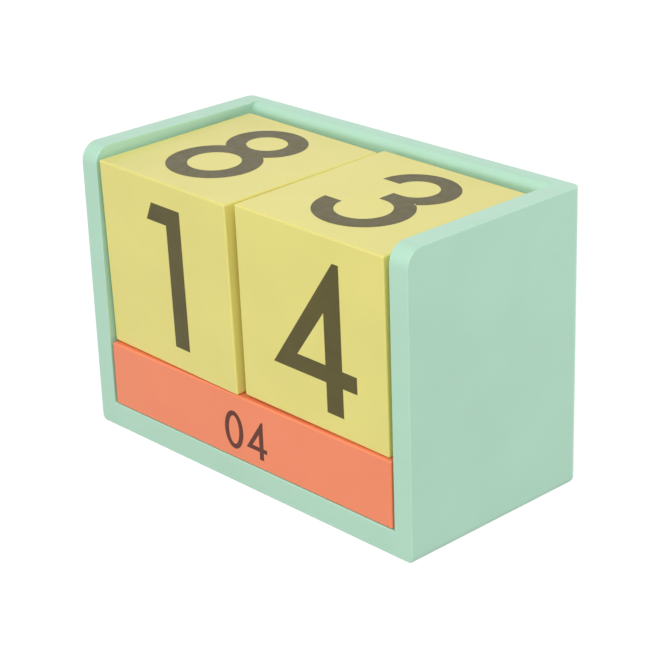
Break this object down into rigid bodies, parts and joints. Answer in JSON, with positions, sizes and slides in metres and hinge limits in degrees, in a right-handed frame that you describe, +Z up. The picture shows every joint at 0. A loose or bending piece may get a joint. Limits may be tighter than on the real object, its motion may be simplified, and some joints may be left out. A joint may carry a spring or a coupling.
{
  "type": "perpetual block calendar",
  "caption": "Open-fronted painted wooden case holding two loose number cubes that stand on square month bars; the cubes lift out and the bars slide out at the front.",
  "frame": {"origin": "middle of the underside of the case, on the surface it stands on", "axes": "+Z up, -Y towards the reader (the open front), +X to the reader's right along the case's width"},
  "size_m": [0.116, 0.0591, 0.0771],
  "materials": {
    "mint_paint": "matte mint paint over fibreboard or close-grained wood",
    "yellow_paint": "matte pale yellow paint",
    "orange_paint": "matte coral orange paint"
  },
  "bodies": {
    "case": {"bottom_board": "mint_paint", "left_side": "mint_paint", "right_side": "mint_paint", "back_board": "mint_paint"},
    "left_cube": {"number_cube_left": "yellow_paint"},
    "right_cube": {"number_cube_right": "yellow_paint"},
    "back_bar": {"month_bar_back": "orange_paint"},
    "middle_bar": {"month_bar_middle": "orange_paint"},
    "front_bar": {"month_bar_front": "orange_paint"}
  },
  "joints": [
    {"name": "left_cube_lift", "type": "slide", "parent": "case", "child": "left_cube", "axis": [0, 0, 1], "range_m": [0, 0.06]},
    {"name": "right_cube_lift", "type": "slide", "parent": "case", "child": "right_cube", "axis": [0, 0, 1], "range_m": [0, 0.06]},
    {"name": "back_bar_slide", "type": "slide", "parent": "case", "child": "back_bar", "axis": [0, -1, 0], "range_m": [0, 0.055]},
    {"name": "middle_bar_slide", "type": "slide", "parent": "back_bar", "child": "middle_bar", "axis": [0, -1, 0], "range_m": [0, 0.037]},
    {"name": "front_bar_slide", "type": "slide", "parent": "middle_bar", "child": "front_bar", "axis": [0, -1, 0], "range_m": [0, 0.02]}
  ]
}
